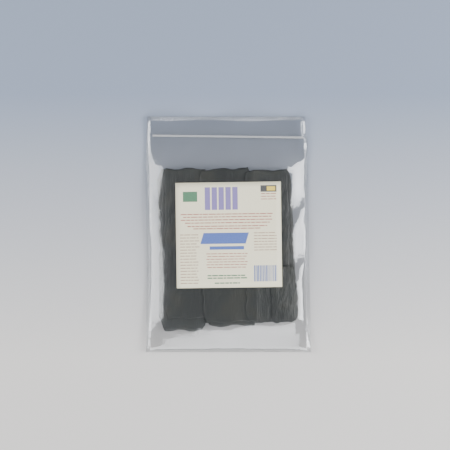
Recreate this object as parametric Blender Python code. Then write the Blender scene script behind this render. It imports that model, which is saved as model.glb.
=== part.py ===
"""A bag of dried wakame, lying on its back with its label up.

Thirteen pressed fronds lie in four courses inside a clear film bag, and a square paper label is stuck on
the bag's front. X runs across the bag, Y from its bottom seal to its mouth, and Z up from the surface that
it lies on. The origin is on that surface, under the middle of the bag. Lengths in the tables are in
millimetres, and MM turns them into metres.
"""

import math

import bmesh
import bpy
import numpy as np
from mathutils import Vector
from mathutils.bvhtree import BVHTree

MM = 0.001

# The bag: an outline of (height up the bag, sideways place) points for each side edge.
BAG_BOTTOM, BAG_MOUTH = -142.0, 142.0
LEFT_EDGE = ((-142, -99.0), (-90, -98.2), (-20, -97.8), (40, -99.0), (85, -100.0), (118, -98.4), (142, -97.6))
RIGHT_EDGE = ((-142, 100.0), (-100, 99.4), (-40, 98.0), (20, 97.0), (116, 96.5), (121, 93.8), (142, 93.0))
BAG_COLUMNS, BAG_ROWS = 28, 40
FLAT_BORDER = 3  # cells of the back web that follow the bag's edge, round one flat middle
FILM = 0.6
SEAL_GAP = 0.3
SEAL_HEIGHT, SEAL_HALF_BAND = 118.0, 2.5
SEAL_FALL = 2.4  # the seal runs this much lower at the right edge than at the left
EDGE_LIFT, EDGE_LIFT_WAVE = 2.6, 1.3
MOUTH_LIFT, MOUTH_LIFT_WAVE = 2.2, 1.6
EDGE_REACH = 15.0  # how far in from an edge the back web lies off the surface
DRAW_TIGHT_STEPS = 500

# Creases of the front film: the line's points, how high it stands and how wide its foot is to either side.
CREASES = (
    (((54, 71), (70, 83), (84, 87.5), (96, 87)), 3.4, 8.0),
    (((76, 74), (79, 58), (77, 46)), 2.6, 7.0),
    (((97, 44), (90, 26), (79, 8)), 3.2, 8.0),
    (((74, 2), (77, -22), (76, -38)), 2.2, 7.0),
    (((97, -20), (90, -40), (84, -60)), 3.0, 8.0),
    (((95, -28), (96, -70), (95, -108)), 2.8, 7.5),
    (((86, -62), (87, -92), (92, -124)), 2.6, 7.0),
    (((12, 114), (20, 98), (36, 82)), 2.2, 7.0),
    (((-32, 112), (-44, 96), (-56, 84)), 1.5, 7.0),
    (((44, 114), (46, 98)), 1.4, 6.5),
    (((-91, 60), (-89, 0), (-90, -70)), 1.8, 7.0),
)

# The fronds. GAP is the air that dried leaves keep between them.
GAP = 0.35
FROND_THICKNESS, EDGE_THICKNESS = 2.0, 1.0
RIB_HEIGHT = 0.45
LOBE_DEPTH = 2.6
END_ROUNDING = 7.0
SMOOTHING_PASSES = 12
FINE = 4  # places looked at along each side of a cell when a piece is laid on what is under it
COURSE_CELLS = {1: (16, 6), 2: (16, 6), 3: (20, 8), 4: (26, 8)}

# course, place: foot (x, y), tip (x, y), width, sideways bow, number of lobes on each margin.
FRONDS = (
    (1, "left", (-56, -109), (-58, 77), 56, 1.0, 9),
    (1, "right", (57, -105), (48, 75), 56, -1.5, 10),
    (1, "middle", (1, -107), (-5, 76), 64, 0.5, 9),
    (2, "middle", (4, -109), (-2, 77), 60, -1.0, 9),
    (2, "left", (-53, -112), (-55, 78), 57, 1.5, 10),
    (2, "right", (55, -104), (48, 76), 56, 0.5, 9),
    (3, "right", (54, -104), (47, 77), 56, 1.5, 10),
    (3, "middle", (5, -109.5), (-3, 78), 60, 1.0, 9),
    (3, "left", (-53, -115.5), (-53, 78), 54, -1.0, 10),
    (4, "left", (-49, -101), (-51, 79), 54, 1.0, 10),
    (4, "middle", (2, -105.5), (-4, 78.5), 62, -1.5, 9),
    (4, "right", (48, -104.5), (45, 76.5), 54, 1.0, 10),
    (4, "corner", (68, -104.5), (63, -38), 33, 1.5, 5),
)

# The label, turned a little on the bag as it was stuck.
LABEL_SIDE, LABEL_THICKNESS, LABEL_CELLS = 125.5, 0.4, 9
LABEL_CENTRE, LABEL_TURN = (0.9, -0.5), math.radians(0.8)
LABEL_SMOOTHING_PASSES = 60


def clear_scene():
    for obj in list(bpy.data.objects):
        bpy.data.objects.remove(obj, do_unlink=True)


def make_material(name, colour, roughness, alpha=1.0):
    material = bpy.data.materials.new(name)
    material.use_nodes = True
    shader = material.node_tree.nodes["Principled BSDF"]
    shader.inputs["Base Color"].default_value = (*colour, 1.0)
    shader.inputs["Roughness"].default_value = roughness
    shader.inputs["Metallic"].default_value = 0.0
    shader.inputs["Alpha"].default_value = alpha
    return material


def make_object(name, points, faces, material):
    """A named object from points in millimetres and faces that point outwards."""
    mesh = bpy.data.meshes.new(name)
    mesh.from_pydata((np.asarray(points) * MM).tolist(), [], [list(map(int, face)) for face in faces])
    mesh.validate()
    mesh.shade_smooth()
    mesh.set_sharp_from_angle(angle=math.radians(35))
    mesh.materials.append(material)
    obj = bpy.data.objects.new(name, mesh)
    bpy.context.scene.collection.objects.link(obj)
    return obj


def smooth_step(value):
    """0 below 0, 1 above 1, and an even S between them."""
    value = np.clip(value, 0.0, 1.0)
    return value * value * (3.0 - 2.0 * value)


def cell_triangles(numbers):
    """Each cell of a grid of point numbers as two triangles, always along the same diagonal."""
    a, b = numbers[:-1, :-1].ravel(), numbers[:-1, 1:].ravel()
    d, c = numbers[1:, :-1].ravel(), numbers[1:, 1:].ravel()
    return np.concatenate([np.stack([a, b, c], axis=1), np.stack([a, c, d], axis=1)])


def loop_of(numbers):
    """The grid's outer point numbers in order, anticlockwise seen from above."""
    return np.concatenate([numbers[0, :-1], numbers[:-1, -1], numbers[-1, :0:-1], numbers[:0:-1, 0]])


def wall_between(lower, upper):
    """Triangles that join two closed loops of point numbers, facing away from the loops' middle."""
    low_next, up_next = np.roll(lower, -1), np.roll(upper, -1)
    return np.concatenate([
        np.stack([lower, low_next, up_next], axis=1),
        np.stack([lower, up_next, upper], axis=1),
    ])


def closed_sheet(top, bottom):
    """Points and triangles of a sheet between two grids of points that share their places seen from above."""
    count = top.shape[0] * top.shape[1]
    upper = np.arange(count).reshape(top.shape[:2])
    lower = upper + count
    points = np.concatenate([top.reshape(-1, 3), bottom.reshape(-1, 3)])
    triangles = np.concatenate([
        cell_triangles(upper),
        cell_triangles(lower)[:, ::-1],
        wall_between(loop_of(lower), loop_of(upper)),
    ])
    return points, triangles


class Pile:
    """What has been laid down so far, which the next piece is laid on."""

    def __init__(self, floor_height):
        self.floor_height = floor_height
        self.points, self.triangles = np.empty((0, 3)), np.empty((0, 3), int)
        self.tree = None

    def add(self, points, triangles):
        self.triangles = np.concatenate([self.triangles, triangles + len(self.points)])
        self.points = np.concatenate([self.points, points])
        self.tree = BVHTree.FromPolygons(self.points.tolist(), self.triangles.tolist())

    def height_at(self, x, y):
        if self.tree is None:
            return self.floor_height
        place = self.tree.ray_cast(Vector((x, y, 1000.0)), Vector((0, 0, -1)))[0]
        return self.floor_height if place is None else max(place.z, self.floor_height)

    def under(self, plan):
        """For each point of a grid seen from above, the greatest height of the pile in the cells round it."""
        rows, columns = plan.shape[0] - 1, plan.shape[1] - 1
        cells = np.full((rows, columns), self.floor_height)
        for along in np.linspace(0, 1, FINE + 1):
            for across in np.linspace(0, 1, FINE + 1):
                near = plan[:-1, :-1] * (1 - across) + plan[:-1, 1:] * across
                far = plan[1:, :-1] * (1 - across) + plan[1:, 1:] * across
                places = near * (1 - along) + far * along
                heights = [self.height_at(x, y) for x, y in places.reshape(-1, 2)]
                cells = np.maximum(cells, np.reshape(heights, cells.shape))
        most = np.pad(cells, 1, constant_values=self.floor_height)
        return np.maximum.reduce([most[:-1, :-1], most[1:, :-1], most[:-1, 1:], most[1:, 1:]])


def settled(least, passes):
    """A sheet laid on heights that it can't go below, with its steps eased as a stiff leaf eases them."""
    height = least.copy()
    for _ in range(passes):
        padded = np.pad(height, 1, mode="edge")
        mean = (padded[:-2, 1:-1] + padded[2:, 1:-1] + padded[1:-1, :-2] + padded[1:-1, 2:]) / 4
        height = np.maximum(least, mean)
    return height


def frond_plan(foot, tip, width, bow, lobes, cells, phase):
    """A strip seen from above: a bowed midline, lobed margins and blunt, rounded, uneven ends.

    The margin swings out in lobes, each half a wave of a sine raised to a low power, so that they meet in
    narrow notches. Near either end the strip narrows as a quarter circle does.
    """
    rows, columns = cells
    foot, tip = np.array(foot, float), np.array(tip, float)
    length = np.linalg.norm(tip - foot)
    along = (tip - foot) / length
    side = np.array([along[1], -along[0]])
    t = np.linspace(0, 1, rows + 1)[:, None]
    v = np.linspace(-1, 1, columns + 1)[None, :]
    v = np.sign(v) * np.abs(v) ** 0.85
    from_end = np.minimum(t, 1 - t) * length
    rounding = np.clip(1 - from_end / END_ROUNDING, 0, 1)
    narrowing = 3.0 * (1 - np.sqrt(np.clip(1 - rounding**2, 0, 1)))
    right_lobe = np.abs(np.sin(math.pi * (lobes * t + phase))) ** 0.55
    left_lobe = np.abs(np.sin(math.pi * ((lobes + 1) * t + 2.3 * phase))) ** 0.55
    lobe = np.where(v > 0, right_lobe, left_lobe)
    half = width / 2 - narrowing - LOBE_DEPTH * (1 - lobe)
    end_wave = 1.3 * np.sin(5.0 * v + 4 * phase) * np.abs(2 * t - 1) ** 6
    midline = foot + (tip - foot) * t[..., None] + side * (bow * np.sin(math.pi * t))[..., None]
    return midline + side * (half * v)[..., None] + along * end_wave[..., None] * np.sign(t[..., None] - 0.5)


def frond_thickness(cells, phase):
    """Thick along the middle, thin at the margins, with a low midrib and long soft pleats."""
    rows, columns = cells
    t = np.linspace(0, 1, rows + 1)[:, None]
    v = np.linspace(-1, 1, columns + 1)[None, :]
    body = EDGE_THICKNESS + (FROND_THICKNESS - EDGE_THICKNESS) * (1 - np.abs(v) ** 4) * np.ones_like(t)
    body *= 1 - 0.35 * np.abs(2 * t - 1) ** 10
    rib = RIB_HEIGHT * np.exp(-((v / 0.16) ** 2))
    pleats = 0.22 * np.sin(7.0 * v + 2.5 * np.sin(6.0 * t + 9 * phase)) * (1 - v**2)
    return body + rib + pleats


def make_fronds(pile, material):
    """Lays the fronds down in order, each draped on those already there."""
    for number, (course, place, foot, tip, width, bow, lobes) in enumerate(FRONDS):
        phase = 0.37 * number
        cells = COURSE_CELLS[course]
        if place == "corner":
            cells = (cells[0] // 2, cells[1])
        plan = frond_plan(foot, tip, width, bow, lobes, cells, phase)
        low = settled(pile.under(plan) + GAP, SMOOTHING_PASSES)
        high = low + frond_thickness(cells, phase)
        bottom, top = np.dstack([plan, low]), np.dstack([plan, high])
        points, triangles = closed_sheet(top, bottom)
        make_object(f"frond_{course}_{place}", points, triangles, material)
        pile.add(points, triangles)


def bag_plan():
    """The bag's grid seen from above, with the rows sloping a little as the seal does."""
    t = np.linspace(0, 1, BAG_ROWS + 1)[:, None]
    s = np.linspace(0, 1, BAG_COLUMNS + 1)[None, :]
    slope = SEAL_FALL * np.sin(math.pi * t) * (0.5 - s)
    y = BAG_BOTTOM + (BAG_MOUTH - BAG_BOTTOM) * t + slope
    heights, left = np.array(LEFT_EDGE, float).T
    right_heights, right = np.array(RIGHT_EDGE, float).T
    x_left, x_right = np.interp(y, heights, left), np.interp(y, right_heights, right)
    return np.dstack([x_left + (x_right - x_left) * s, y])


def back_lift(plan):
    """How far the back web stands off the surface: nothing under the fronds, a little along the bag's edges."""
    x, y = plan[..., 0], plan[..., 1]
    edge_wave = EDGE_LIFT + EDGE_LIFT_WAVE * np.sin(y / 23.0 + np.where(x > 0, 1.7, 0.4))
    from_left, from_right = x - plan[:, :1, 0], plan[:, -1:, 0] - x
    side = smooth_step(1 - np.minimum(from_left, from_right) / EDGE_REACH) * edge_wave
    mouth = smooth_step(1 - (BAG_MOUTH - y) / EDGE_REACH) * (MOUTH_LIFT + MOUTH_LIFT_WAVE * np.sin(x / 17.0))
    foot = smooth_step(1 - (y - BAG_BOTTOM) / EDGE_REACH) * 0.4 * EDGE_LIFT
    lift = np.maximum(side, mouth) + foot
    inner = np.s_[FLAT_BORDER:-FLAT_BORDER, FLAT_BORDER:-FLAT_BORDER]
    lift[inner] = 0.0
    return lift


def crease_height(plan, line, height, foot):
    """A ridge with straight flanks along a line, dying away at the line's two ends."""
    line = np.array(line, float)
    starts, steps = line[:-1], np.diff(line, axis=0)
    lengths = np.linalg.norm(steps, axis=1)
    before = np.concatenate([[0], np.cumsum(lengths)[:-1]])
    best, along = np.full(plan.shape[:2], 1e9), np.zeros(plan.shape[:2])
    for start, step, length, passed in zip(starts, steps, lengths, before):
        share = np.clip(((plan - start) @ step) / length**2, 0, 1)
        away = np.linalg.norm(plan - start - share[..., None] * step, axis=2)
        nearer = away < best
        best = np.where(nearer, away, best)
        along = np.where(nearer, passed + share * length, along)
    total = lengths.sum()
    fade = smooth_step(np.minimum(along, total - along) / (0.25 * total) + 0.25)
    return height * fade * np.clip(1 - best / foot, 0, 1)


def front_height(plan, back, pile):
    """The front film's inner face: drawn tight over the fronds and down to the seals, then creased."""
    x, y = plan[..., 0], plan[..., 1]
    held = back + SEAL_GAP
    least = np.maximum(pile.under(plan) + GAP, held)
    pinned = np.zeros(plan.shape[:2], bool)
    pinned[0], pinned[-1], pinned[:, 0], pinned[:, -1] = True, True, True, True
    seal = SEAL_HEIGHT - SEAL_FALL * x / (plan[:, -1:, 0] - plan[:, :1, 0])
    in_fin = y > seal - SEAL_HALF_BAND
    height = np.where(pinned | in_fin, held, least)
    free = ~(pinned | in_fin)
    for _ in range(DRAW_TIGHT_STEPS):
        mean = np.zeros_like(height)
        mean[1:-1, 1:-1] = (height[:-2, 1:-1] + height[2:, 1:-1] + height[1:-1, :-2] + height[1:-1, 2:]) / 4
        height = np.where(free, np.maximum(least, mean), height)
    room = np.minimum(x - plan[:, :1, 0], plan[:, -1:, 0] - x)
    fade = smooth_step(room / 6.0) * smooth_step((seal - y) / 8.0) * smooth_step((y - BAG_BOTTOM) / 10.0)
    ridges = sum(crease_height(plan, *crease) for crease in CREASES)
    fin_open = smooth_step((y - seal - 6.0) / 16.0) * smooth_step(room / 14.0) * (0.7 + 0.5 * np.sin(x / 11.0))
    return height + ridges * fade + fin_open * in_fin


def make_bag(pile, material):
    """One pouch: a front and a back web joined at both sides and the bottom, and pressed shut at the mouth.

    The faces are an outer and an inner skin. Each is a front grid and a back grid that share the three
    joined edges, and the two skins meet in the rim round the mouth.
    """
    plan = bag_plan()
    inner_plan = plan.copy()
    inner_plan[:, 0, 0] += FILM
    inner_plan[:, -1, 0] -= FILM
    inner_plan[0, :, 1] += FILM
    lift = back_lift(plan)
    back = lift + FILM
    front = front_height(plan, back, pile)
    skins = (
        np.dstack([plan, front + FILM]),
        np.dstack([plan, lift]),
        np.dstack([inner_plan, front]),
        np.dstack([inner_plan, back]),
    )
    count = (BAG_ROWS + 1) * (BAG_COLUMNS + 1)
    numbers = [np.arange(count).reshape(BAG_ROWS + 1, -1) + count * k for k in range(4)]
    outer_front, outer_back, inner_front, inner_back = numbers
    middle = np.s_[FLAT_BORDER:-FLAT_BORDER, FLAT_BORDER:-FLAT_BORDER]

    def border_triangles(grid):
        cells = np.arange(BAG_ROWS * BAG_COLUMNS).reshape(BAG_ROWS, BAG_COLUMNS)
        keep = np.setdiff1d(cells, cells[FLAT_BORDER:-FLAT_BORDER, FLAT_BORDER:-FLAT_BORDER])
        both = cell_triangles(grid)
        half = BAG_ROWS * BAG_COLUMNS
        return np.concatenate([both[:half][keep], both[half:][keep]])

    def joined(first, second):
        """Triangles between two runs of point numbers of the same length."""
        return np.concatenate([
            np.stack([first[:-1], first[1:], second[1:]], axis=1),
            np.stack([first[:-1], second[1:], second[:-1]], axis=1),
        ])

    open_edge = lambda grid: np.concatenate([grid[::-1, 0], grid[0, 1:], grid[1:, -1]])
    faces = [
        cell_triangles(outer_front),
        border_triangles(outer_back)[:, ::-1],
        joined(open_edge(outer_back), open_edge(outer_front)),
        cell_triangles(inner_front)[:, ::-1],
        border_triangles(inner_back),
        joined(open_edge(inner_front), open_edge(inner_back)),
        joined(outer_front[-1], inner_front[-1]),
        joined(inner_back[-1], outer_back[-1]),
        [[outer_front[-1, 0], inner_back[-1, 0], outer_back[-1, 0]],
         [outer_front[-1, 0], inner_front[-1, 0], inner_back[-1, 0]],
         [outer_front[-1, -1], outer_back[-1, -1], inner_back[-1, -1]],
         [outer_front[-1, -1], inner_back[-1, -1], inner_front[-1, -1]]],
    ]
    faces = [list(face) for block in faces for face in block]
    faces.append(list(loop_of(outer_back[middle]))[::-1])
    faces.append(list(loop_of(inner_back[middle])))
    points = np.concatenate([skin.reshape(-1, 3) for skin in skins])
    used = np.unique(np.concatenate([np.ravel(face) for face in faces]))
    renumbered = np.full(len(points), -1)
    renumbered[used] = np.arange(len(used))
    points, faces = points[used], [renumbered[face] for face in faces]
    make_object("bag", points, faces, material)
    pile.add(skins[0].reshape(-1, 3), cell_triangles(outer_front))


def make_label(pile, material):
    """A square of paper laid on the front film, nearly flat."""
    steps = np.linspace(-LABEL_SIDE / 2, LABEL_SIDE / 2, LABEL_CELLS + 1)
    across, up = np.meshgrid(steps, steps)
    cosine, sine = math.cos(LABEL_TURN), math.sin(LABEL_TURN)
    plan = np.dstack([
        LABEL_CENTRE[0] + across * cosine - up * sine,
        LABEL_CENTRE[1] + across * sine + up * cosine,
    ])
    low = settled(pile.under(plan) + SEAL_GAP, LABEL_SMOOTHING_PASSES)
    bottom, top = np.dstack([plan, low]), np.dstack([plan, low + LABEL_THICKNESS])
    make_object("label", *closed_sheet(top, bottom), material)


def main():
    clear_scene()
    wakame = make_material("dried_wakame", (0.016, 0.021, 0.014), 0.55)
    film = make_material("clear_film", (0.86, 0.88, 0.90), 0.08, alpha=0.25)
    paper = make_material("label_paper", (0.84, 0.82, 0.62), 0.6)
    pile = Pile(floor_height=FILM)
    make_fronds(pile, wakame)
    make_bag(pile, film)
    make_label(pile, paper)


main()
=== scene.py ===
"""A bag of dried wakame seen from straight above, as it lies on its back on a pale surface."""

import math

import bmesh
import bpy
import numpy as np
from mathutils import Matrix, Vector
from mathutils.bvhtree import BVHTree


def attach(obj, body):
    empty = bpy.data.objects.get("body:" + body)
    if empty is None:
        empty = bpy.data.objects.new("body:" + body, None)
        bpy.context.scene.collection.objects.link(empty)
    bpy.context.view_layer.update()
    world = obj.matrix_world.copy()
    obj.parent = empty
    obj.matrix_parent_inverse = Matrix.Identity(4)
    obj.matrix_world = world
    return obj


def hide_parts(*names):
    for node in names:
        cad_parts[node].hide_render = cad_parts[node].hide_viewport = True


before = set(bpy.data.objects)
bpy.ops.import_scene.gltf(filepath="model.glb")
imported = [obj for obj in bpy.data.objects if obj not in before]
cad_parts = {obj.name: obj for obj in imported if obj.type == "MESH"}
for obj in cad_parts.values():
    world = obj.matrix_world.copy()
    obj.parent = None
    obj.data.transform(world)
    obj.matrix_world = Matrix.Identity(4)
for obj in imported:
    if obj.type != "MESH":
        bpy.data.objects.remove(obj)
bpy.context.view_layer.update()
MM = 0.001


# Pressed wakame fronds.
# Dried brown seaweed, blackish green and leathery, folded and pressed flat in courses. The leaves
# shrink as they dry, so fine crinkles run all over them and a few long pleats run from end to end.
CRINKLE_DEPTH = 0.32 * MM
CRINKLE_PITCH = 5.5 * MM
LEAF_CUTS = 2
LEAF_COLOURS = (
    (0.30, (0.007, 0.008, 0.007)),
    (0.50, (0.012, 0.015, 0.012)),
    (0.66, (0.022, 0.023, 0.016)),
)


def input_of(shader, name, value):
    """Sets one input of a shader node by its name."""
    shader.inputs[name].default_value = value


def crinkle(points, phase):
    """Depth from 0 to 1: three crossed sine waves bent by slower ones, folded to leave narrow creases."""
    x, y = points[:, 0] / CRINKLE_PITCH, points[:, 1] / CRINKLE_PITCH
    bend = 1.6 * np.sin(0.41 * y + phase) + 1.1 * np.sin(0.33 * x - 2 * phase)
    waves = np.sin(1.9 * x + bend)
    waves = waves + 0.7 * np.sin(1.3 * y + 1.7 * bend)
    waves = waves + 0.5 * np.sin(2.3 * x - 1.9 * y + bend)
    return np.clip(1 - np.abs(waves) / 1.1, 0, 1)


def finer_copy(node, name, cuts):
    """A merged copy of a CAD node's mesh with each edge cut evenly."""
    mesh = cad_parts[node].data.copy()
    mesh.materials.clear()
    work = bmesh.new()
    work.from_mesh(mesh)
    bmesh.ops.remove_doubles(work, verts=work.verts, dist=0.00001)
    if cuts:
        bmesh.ops.subdivide_edges(work, edges=work.edges, cuts=cuts, use_grid_fill=True)
    work.to_mesh(mesh)
    work.free()
    mesh.shade_smooth()
    piece = bpy.data.objects.new(name, mesh)
    bpy.context.scene.collection.objects.link(piece)
    return piece


def wakame_material():
    """Near black with green and olive patches, and a fine relief drawn out along the leaf."""
    material = bpy.data.materials.new("dried_wakame_leaf")
    material.use_nodes = True
    nodes, links = material.node_tree.nodes, material.node_tree.links
    shader = nodes["Principled BSDF"]
    input_of(shader, "Roughness", 0.42)
    input_of(shader, "Specular IOR Level", 0.45)
    place = nodes.new("ShaderNodeTexCoord")
    patches = nodes.new("ShaderNodeTexNoise")
    input_of(patches, "Scale", 38.0)
    input_of(patches, "Detail", 5.0)
    colours = nodes.new("ShaderNodeValToRGB")
    while len(colours.color_ramp.elements) < len(LEAF_COLOURS):
        colours.color_ramp.elements.new(0.5)
    for element, (position, colour) in zip(colours.color_ramp.elements, LEAF_COLOURS):
        element.position = position
        element.color = (*colour, 1.0)
    stretch = nodes.new("ShaderNodeMapping")
    input_of(stretch, "Scale", (5.0, 1.0, 1.0))
    relief = nodes.new("ShaderNodeTexNoise")
    input_of(relief, "Scale", 120.0)
    input_of(relief, "Detail", 8.0)
    bump = nodes.new("ShaderNodeBump")
    input_of(bump, "Strength", 0.7)
    input_of(bump, "Distance", 0.0009)
    links.new(place.outputs["Object"], patches.inputs["Vector"])
    links.new(patches.outputs["Fac"], colours.inputs["Fac"])
    links.new(colours.outputs["Color"], shader.inputs["Base Color"])
    links.new(place.outputs["Object"], stretch.inputs["Vector"])
    links.new(stretch.outputs["Vector"], relief.inputs["Vector"])
    links.new(relief.outputs["Fac"], bump.inputs["Height"])
    links.new(bump.outputs["Normal"], shader.inputs["Normal"])
    return material


leaf = wakame_material()
frond_nodes = sorted(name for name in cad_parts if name.startswith("frond"))
for number, node in enumerate(frond_nodes):
    frond = finer_copy(node, node.replace("frond", "leaf"), cuts=LEAF_CUTS)
    count = len(frond.data.vertices)
    points, normals = np.empty(count * 3), np.empty(count * 3)
    frond.data.vertices.foreach_get("co", points)
    frond.data.vertex_normals.foreach_get("vector", normals)
    points, normals = points.reshape(-1, 3), normals.reshape(-1, 3)
    points -= normals * (CRINKLE_DEPTH * crinkle(points, 0.9 * number))[:, None]
    frond.data.vertices.foreach_set("co", points.ravel())
    frond.data.update()
    frond.data.materials.append(leaf)
    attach(frond, "root")
    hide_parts(node)


# Film bag.
# A pouch of clear, stiff plastic film, heat-sealed at both sides, the bottom and across under the mouth.
# It is drawn over the slab and crumples where the slab leaves it loose, most at the right.


def film_material(name, least_share, most_share, metallic):
    """See-through film: a shining share that grows from least to most at grazing angles, over a clear one."""
    material = bpy.data.materials.new(name)
    material.use_nodes = True
    nodes, links = material.node_tree.nodes, material.node_tree.links
    shader = nodes["Principled BSDF"]
    input_of(shader, "Base Color", (0.86, 0.88, 0.90, 1.0))
    input_of(shader, "Roughness", 0.12)
    input_of(shader, "IOR", 1.5)
    input_of(shader, "Metallic", metallic)
    clear = nodes.new("ShaderNodeBsdfTransparent")
    facing = nodes.new("ShaderNodeLayerWeight")
    input_of(facing, "Blend", 0.25)
    share = nodes.new("ShaderNodeMapRange")
    input_of(share, "To Min", least_share)
    input_of(share, "To Max", most_share)
    place = nodes.new("ShaderNodeTexCoord")
    crumple = nodes.new("ShaderNodeTexNoise")
    input_of(crumple, "Scale", 32.0)
    input_of(crumple, "Detail", 3.0)
    bump = nodes.new("ShaderNodeBump")
    input_of(bump, "Strength", 0.6)
    input_of(bump, "Distance", 0.002)
    mix = nodes.new("ShaderNodeMixShader")
    output = nodes["Material Output"]
    links.new(place.outputs["Object"], crumple.inputs["Vector"])
    links.new(crumple.outputs["Fac"], bump.inputs["Height"])
    links.new(bump.outputs["Normal"], shader.inputs["Normal"])
    links.new(bump.outputs["Normal"], facing.inputs["Normal"])
    links.new(facing.outputs["Facing"], share.inputs["Value"])
    links.new(share.outputs["Result"], mix.inputs["Fac"])
    links.new(clear.outputs["BSDF"], mix.inputs[1])
    links.new(shader.outputs["BSDF"], mix.inputs[2])
    links.new(mix.outputs["Shader"], output.inputs["Surface"])
    return material


film_web = film_material("clear_film_web", 0.025, 0.85, metallic=1.0)
film = finer_copy("bag", "film_pouch", cuts=0)
film.data.materials.append(film_web)
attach(film, "root")
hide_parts("bag")


# Heat seal.
# A narrow crimped band across the bag under its mouth, where hot jaws have melted the two webs together.
# It stands a little proud of the film, with fine ribs across it.
SEAL_HEIGHT = 118.0 * MM
SEAL_FALL = 2.4 * MM
SEAL_WIDTH = 2.6 * MM
SEAL_REACH = 91.0 * MM
SEAL_PROUD = 0.12 * MM
SEAL_CLEARANCE = 0.01 * MM
RIB_PITCH = 1.7 * MM
film_surface = BVHTree.FromPolygons(
    [vertex.co[:] for vertex in film.data.vertices],
    [polygon.vertices[:] for polygon in film.data.polygons],
)


def thin_slab(low, high, rows, columns):
    """A closed slab's points and faces, from two grids of points: their cells and a wall round them."""
    grid = np.arange(rows * columns).reshape(rows, columns)
    corners = [grid[:-1, :-1], grid[:-1, 1:], grid[1:, 1:], grid[1:, :-1]]
    cells = np.stack(corners, axis=-1).reshape(-1, 4)
    edge = np.concatenate([grid[0, :-1], grid[:-1, -1], grid[-1, :0:-1], grid[:0:-1, 0]])
    after = np.roll(edge, -1)
    total = rows * columns
    sides = np.stack([edge, after, after + total, edge + total], axis=1)
    return np.concatenate([low, high]), np.concatenate([cells + total, cells[:, ::-1], sides])


def heights_on(surface, x, y):
    """The height of a surface straight under each of the given places."""
    down = Vector((0, 0, -1))
    places = zip(x.ravel(), y.ravel())
    return np.array([surface.ray_cast(Vector((a, b, 1.0)), down)[0].z for a, b in places])


def strip_on_film(columns, rows):
    """A closed band on the film: a grid across the bag at the film's height, plus a sine of x for ribs."""
    across = np.linspace(-SEAL_REACH, SEAL_REACH, columns)
    along = np.linspace(-SEAL_WIDTH / 2, SEAL_WIDTH / 2, rows)
    x, offset = np.meshgrid(across, along)
    y = SEAL_HEIGHT - SEAL_FALL * x / (2 * SEAL_REACH) + offset
    film_height = heights_on(film_surface, x, y)
    ribs = SEAL_PROUD * (1.2 + np.sin(2 * math.pi * x.ravel() / RIB_PITCH))
    low = np.stack([x.ravel(), y.ravel(), film_height + SEAL_CLEARANCE], axis=1)
    high = low + np.stack([0 * ribs, 0 * ribs, ribs], axis=1)
    return thin_slab(low, high, rows, columns)


seal_points, seal_faces = strip_on_film(columns=440, rows=4)
seal_mesh = bpy.data.meshes.new("heat_seal")
seal_mesh.from_pydata(seal_points.tolist(), [], seal_faces.tolist())
seal_mesh.shade_smooth()
seal_mesh.materials.append(film_material("melted_film", 0.30, 0.55, metallic=0.0))
seal = bpy.data.objects.new("heat_seal", seal_mesh)
bpy.context.scene.collection.objects.link(seal)
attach(seal, "root")


# Label.
# A square of cream paper, printed in a few flat colours and stuck to the bag's front, turned by a hair.
# Its print is made of plain bars and blocks of ink, each a film of ink that lies just proud of the paper.
LABEL_MIDDLE = (0.9 * MM, -0.5 * MM)
LABEL_TURN = math.radians(0.8)
INK_HEIGHT = 0.06 * MM
INK_SUNK_SHARE = 0.3  # of its height, so that no patch of ink floats
INK_STEP = 6 * MM
STRIPES_START, STRIPES_END = 29.6, 57  # label millimetres, as in the patches below
STRIPES_BOTTOM, STRIPES_TOP = -55.8, -36.7
INKS = {
    "violet": (0.20, 0.15, 0.42),
    "blue": (0.035, 0.10, 0.42),
    "red": (0.42, 0.10, 0.07),
    "brown": (0.30, 0.12, 0.07),
    "green": (0.03, 0.17, 0.07),
    "black": (0.02, 0.02, 0.02),
    "yellow": (0.85, 0.62, 0.05),
}


def paper_material():
    """Cream paper with a faint cloudiness and fibre relief."""
    material = bpy.data.materials.new("label_paper_cream")
    material.use_nodes = True
    nodes, links = material.node_tree.nodes, material.node_tree.links
    shader = nodes["Principled BSDF"]
    input_of(shader, "Roughness", 0.55)
    place = nodes.new("ShaderNodeTexCoord")
    cloud = nodes.new("ShaderNodeTexNoise")
    input_of(cloud, "Scale", 25.0)
    tint = nodes.new("ShaderNodeMix")
    tint.data_type = "RGBA"
    tint.inputs["A"].default_value = (0.84, 0.78, 0.56, 1.0)
    tint.inputs["B"].default_value = (0.88, 0.84, 0.64, 1.0)
    fibre = nodes.new("ShaderNodeTexNoise")
    input_of(fibre, "Scale", 1400.0)
    bump = nodes.new("ShaderNodeBump")
    input_of(bump, "Strength", 0.15)
    input_of(bump, "Distance", 0.0001)
    links.new(place.outputs["Object"], cloud.inputs["Vector"])
    links.new(place.outputs["Object"], fibre.inputs["Vector"])
    links.new(cloud.outputs["Fac"], tint.inputs["Factor"])
    links.new(tint.outputs["Result"], shader.inputs["Base Color"])
    links.new(fibre.outputs["Fac"], bump.inputs["Height"])
    links.new(bump.outputs["Normal"], shader.inputs["Normal"])
    return material


paper = finer_copy("label", "paper_label", cuts=1)
paper.data.materials.append(paper_material())
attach(paper, "root")
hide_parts("label")
paper_surface = BVHTree.FromPolygons(
    [vertex.co[:] for vertex in paper.data.vertices],
    [polygon.vertices[:] for polygon in paper.data.polygons],
)


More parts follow.
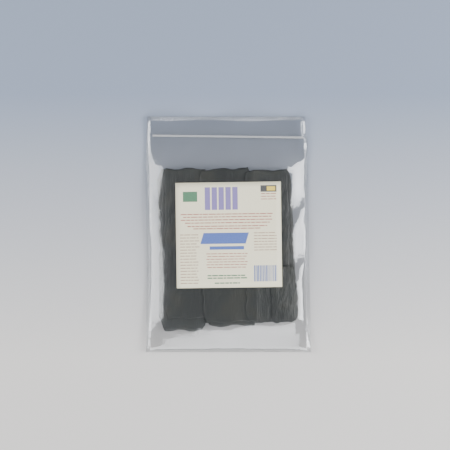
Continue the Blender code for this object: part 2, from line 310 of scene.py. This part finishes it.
def ink_patch(left, bottom, right, top, lean=0.0):
    """A thin slab on the paper between two corners in label millimetres, with its top edge moved by lean."""
    columns = max(2, int((right - left) * MM / INK_STEP) + 2)
    rows = max(2, int((top - bottom) * MM / INK_STEP) + 2)
    u, v = np.meshgrid(np.linspace(left, right, columns), np.linspace(bottom, top, rows))
    u = u + lean * (v - bottom) / (top - bottom)
    cosine, sine = math.cos(LABEL_TURN), math.sin(LABEL_TURN)
    x = LABEL_MIDDLE[0] + (u * cosine - v * sine) * MM
    y = LABEL_MIDDLE[1] + (u * sine + v * cosine) * MM
    paper_height = heights_on(paper_surface, x, y)
    low = np.stack([x.ravel(), y.ravel(), paper_height - INK_SUNK_SHARE * INK_HEIGHT], axis=1)
    high = low + (0, 0, (1 + INK_SUNK_SHARE) * INK_HEIGHT)
    return thin_slab(low, high, rows, columns)


def word_bars(left, right, middle, height, dice):
    """A line of print as short bars of uneven length with gaps between them."""
    place = left
    while place < right - 1.5:
        end = min(right, place + dice.uniform(2.5, 8.5))
        yield place, middle - height / 2, end, middle + height / 2
        place = end + 0.8


dice = np.random.default_rng(21)
prints = {ink: [] for ink in INKS}
for inset, middle in ((0, 24.9), (3, 21.6), (0, 18.1), (5, 14.6), (8, 10.6), (15, 7.7)):
    prints["red"] += word_bars(-57 + inset, 54 - inset, middle, 1.1, dice)
for row in range(17):
    prints["brown"] += word_bars(-58, -35 - dice.uniform(0, 4), 0.6 - 3.6 * row, 0.8, dice)
for row in range(6):
    prints["red"] += word_bars(-27 + row % 2, 22 - row % 3, -22.3 - 3.25 * row, 0.9, dice)
for row in range(7):
    prints["brown"] += word_bars(30, 57, 2.0 - 3.4 * row, 0.8, dice)
for row in range(3):
    prints["red"] += word_bars(39, 57, 48.6 - 3.2 * row, 0.9, dice)
for middle, reach in ((-48.3, 23.5), (-51.3, 23.5), (-57.3, 15.0)):
    prints["green"] += word_bars(-2.5 - reach, -2.5 + reach, middle, 1.4, dice)
prints["green"].append((-54, 40, -37, 52))
prints["blue"] += [(-34, -10.5, 20, 2.6, 4.0), (-23, -17.4, 18, -13.4)]
prints["violet"] += [(-28 + 8.2 * band, 30, -28 + 8.2 * band + 6.4, 57) for band in range(5)]
prints["black"].append((38.5, 50.8, 57.5, 58.6))
prints["yellow"].append((46, 52.2, 56, 57.2))
stripe = STRIPES_START
while stripe < STRIPES_END:
    width = dice.uniform(0.35, 1.3)
    prints["blue"].append((stripe, STRIPES_BOTTOM, stripe + width, STRIPES_TOP))
    stripe += width + dice.uniform(0.35, 1.0)

LIFTED_INKS = {"yellow": 1.5 * INK_HEIGHT}
for ink, patches in prints.items():
    all_points, all_faces, passed = [], [], 0
    for patch in patches:
        patch_points, patch_faces = ink_patch(*patch)
        all_points.append(patch_points + (0, 0, LIFTED_INKS.get(ink, 0.0)))
        all_faces.append(patch_faces + passed)
        passed += len(patch_points)
    mesh = bpy.data.meshes.new(f"print_{ink}")
    mesh.from_pydata(np.concatenate(all_points).tolist(), [], np.concatenate(all_faces).tolist())
    material = bpy.data.materials.new(f"ink_{ink}")
    material.use_nodes = True
    ink_nodes, ink_links = material.node_tree.nodes, material.node_tree.links
    shader = ink_nodes["Principled BSDF"]
    input_of(shader, "Roughness", 0.5)
    place = ink_nodes.new("ShaderNodeTexCoord")
    grain = ink_nodes.new("ShaderNodeTexNoise")
    input_of(grain, "Scale", 900.0)
    wash = ink_nodes.new("ShaderNodeMix")
    wash.data_type = "RGBA"
    wash.inputs["A"].default_value = (*INKS[ink], 1.0)
    wash.inputs["B"].default_value = (*[0.75 * share + 0.12 for share in INKS[ink]], 1.0)
    ink_links.new(place.outputs["Object"], grain.inputs["Vector"])
    ink_links.new(grain.outputs["Fac"], wash.inputs["Factor"])
    ink_links.new(wash.outputs["Result"], shader.inputs["Base Color"])
    mesh.materials.append(material)
    printed = bpy.data.objects.new(f"print_{ink}", mesh)
    bpy.context.scene.collection.objects.link(printed)
    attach(printed, "root")


# Surface, lights and camera.
# A pale surface under soft light, with painted light falloff darkening it towards the far side, seen from
# straight above through a lens of 85 mm.
SURFACE_SIDE = 6.0
VIEW_MIDDLE = (-3.6 * MM, 11.3 * MM)
LABEL_HEIGHT = 0.02
VIEW_HEIGHT = 1.264 + LABEL_HEIGHT
LIGHTS = (
    ("left", (-1.3, 0.1, 1.0), 1.0, 20.0),
    ("right", (1.3, -0.1, 0.9), 1.0, 30.0),
    ("foot", (0.1, -1.5, 0.9), 1.2, 20.0),
)

surface = bpy.data.meshes.new("surface")
half = SURFACE_SIDE / 2
surface_corners = [(-half, -half, 0), (half, -half, 0), (half, half, 0), (-half, half, 0)]
surface.from_pydata(surface_corners, [], [(0, 1, 2, 3)])
surface_material = bpy.data.materials.new("pale_surface_painted_falloff")
surface_material.use_nodes = True
surface_nodes, surface_links = surface_material.node_tree.nodes, surface_material.node_tree.links
input_of(surface_nodes["Principled BSDF"], "Roughness", 0.9)
surface_place = surface_nodes.new("ShaderNodeTexCoord")
surface_split = surface_nodes.new("ShaderNodeSeparateXYZ")
painted_falloff_range = surface_nodes.new("ShaderNodeMapRange")
input_of(painted_falloff_range, "From Min", -0.15)
input_of(painted_falloff_range, "From Max", 0.17)
# Painted light falloff: the surface's colour goes from a pale warm grey at the foot (-y) to a darker blue
# grey at the far side (+y), standing in for light that falls off away from the foot.
surface_painted_falloff = surface_nodes.new("ShaderNodeMix")
surface_painted_falloff.data_type = "RGBA"
surface_painted_falloff.inputs["A"].default_value = (0.66, 0.64, 0.62, 1.0)
surface_painted_falloff.inputs["B"].default_value = (0.25, 0.30, 0.40, 1.0)
surface_links.new(surface_place.outputs["Object"], surface_split.inputs["Vector"])
surface_links.new(surface_split.outputs["Y"], painted_falloff_range.inputs["Value"])
surface_links.new(painted_falloff_range.outputs["Result"], surface_painted_falloff.inputs["Factor"])
surface_links.new(surface_painted_falloff.outputs["Result"], surface_nodes["Principled BSDF"].inputs["Base Color"])
surface.materials.append(surface_material)
floor = bpy.data.objects.new("surface", surface)
bpy.context.scene.collection.objects.link(floor)

world = bpy.data.worlds.new("soft_room")
world.use_nodes = True
input_of(world.node_tree.nodes["Background"], "Color", (0.92, 0.95, 1.0, 1.0))
input_of(world.node_tree.nodes["Background"], "Strength", 0.65)
bpy.context.scene.world = world
for name, place, side, power in LIGHTS:
    lamp = bpy.data.lights.new(f"softbox_{name}", "AREA")
    lamp.size = side
    lamp.energy = power
    softbox = bpy.data.objects.new(f"softbox_{name}", lamp)
    softbox.location = place
    softbox.rotation_euler = (-Vector(place)).to_track_quat("-Z", "Y").to_euler()
    bpy.context.scene.collection.objects.link(softbox)

lens = bpy.data.cameras.new("view")
lens.lens = 85.0
lens.sensor_width = 36.0
camera = bpy.data.objects.new("view", lens)
camera.location = (*VIEW_MIDDLE, VIEW_HEIGHT)
bpy.context.scene.collection.objects.link(camera)
bpy.context.scene.camera = camera
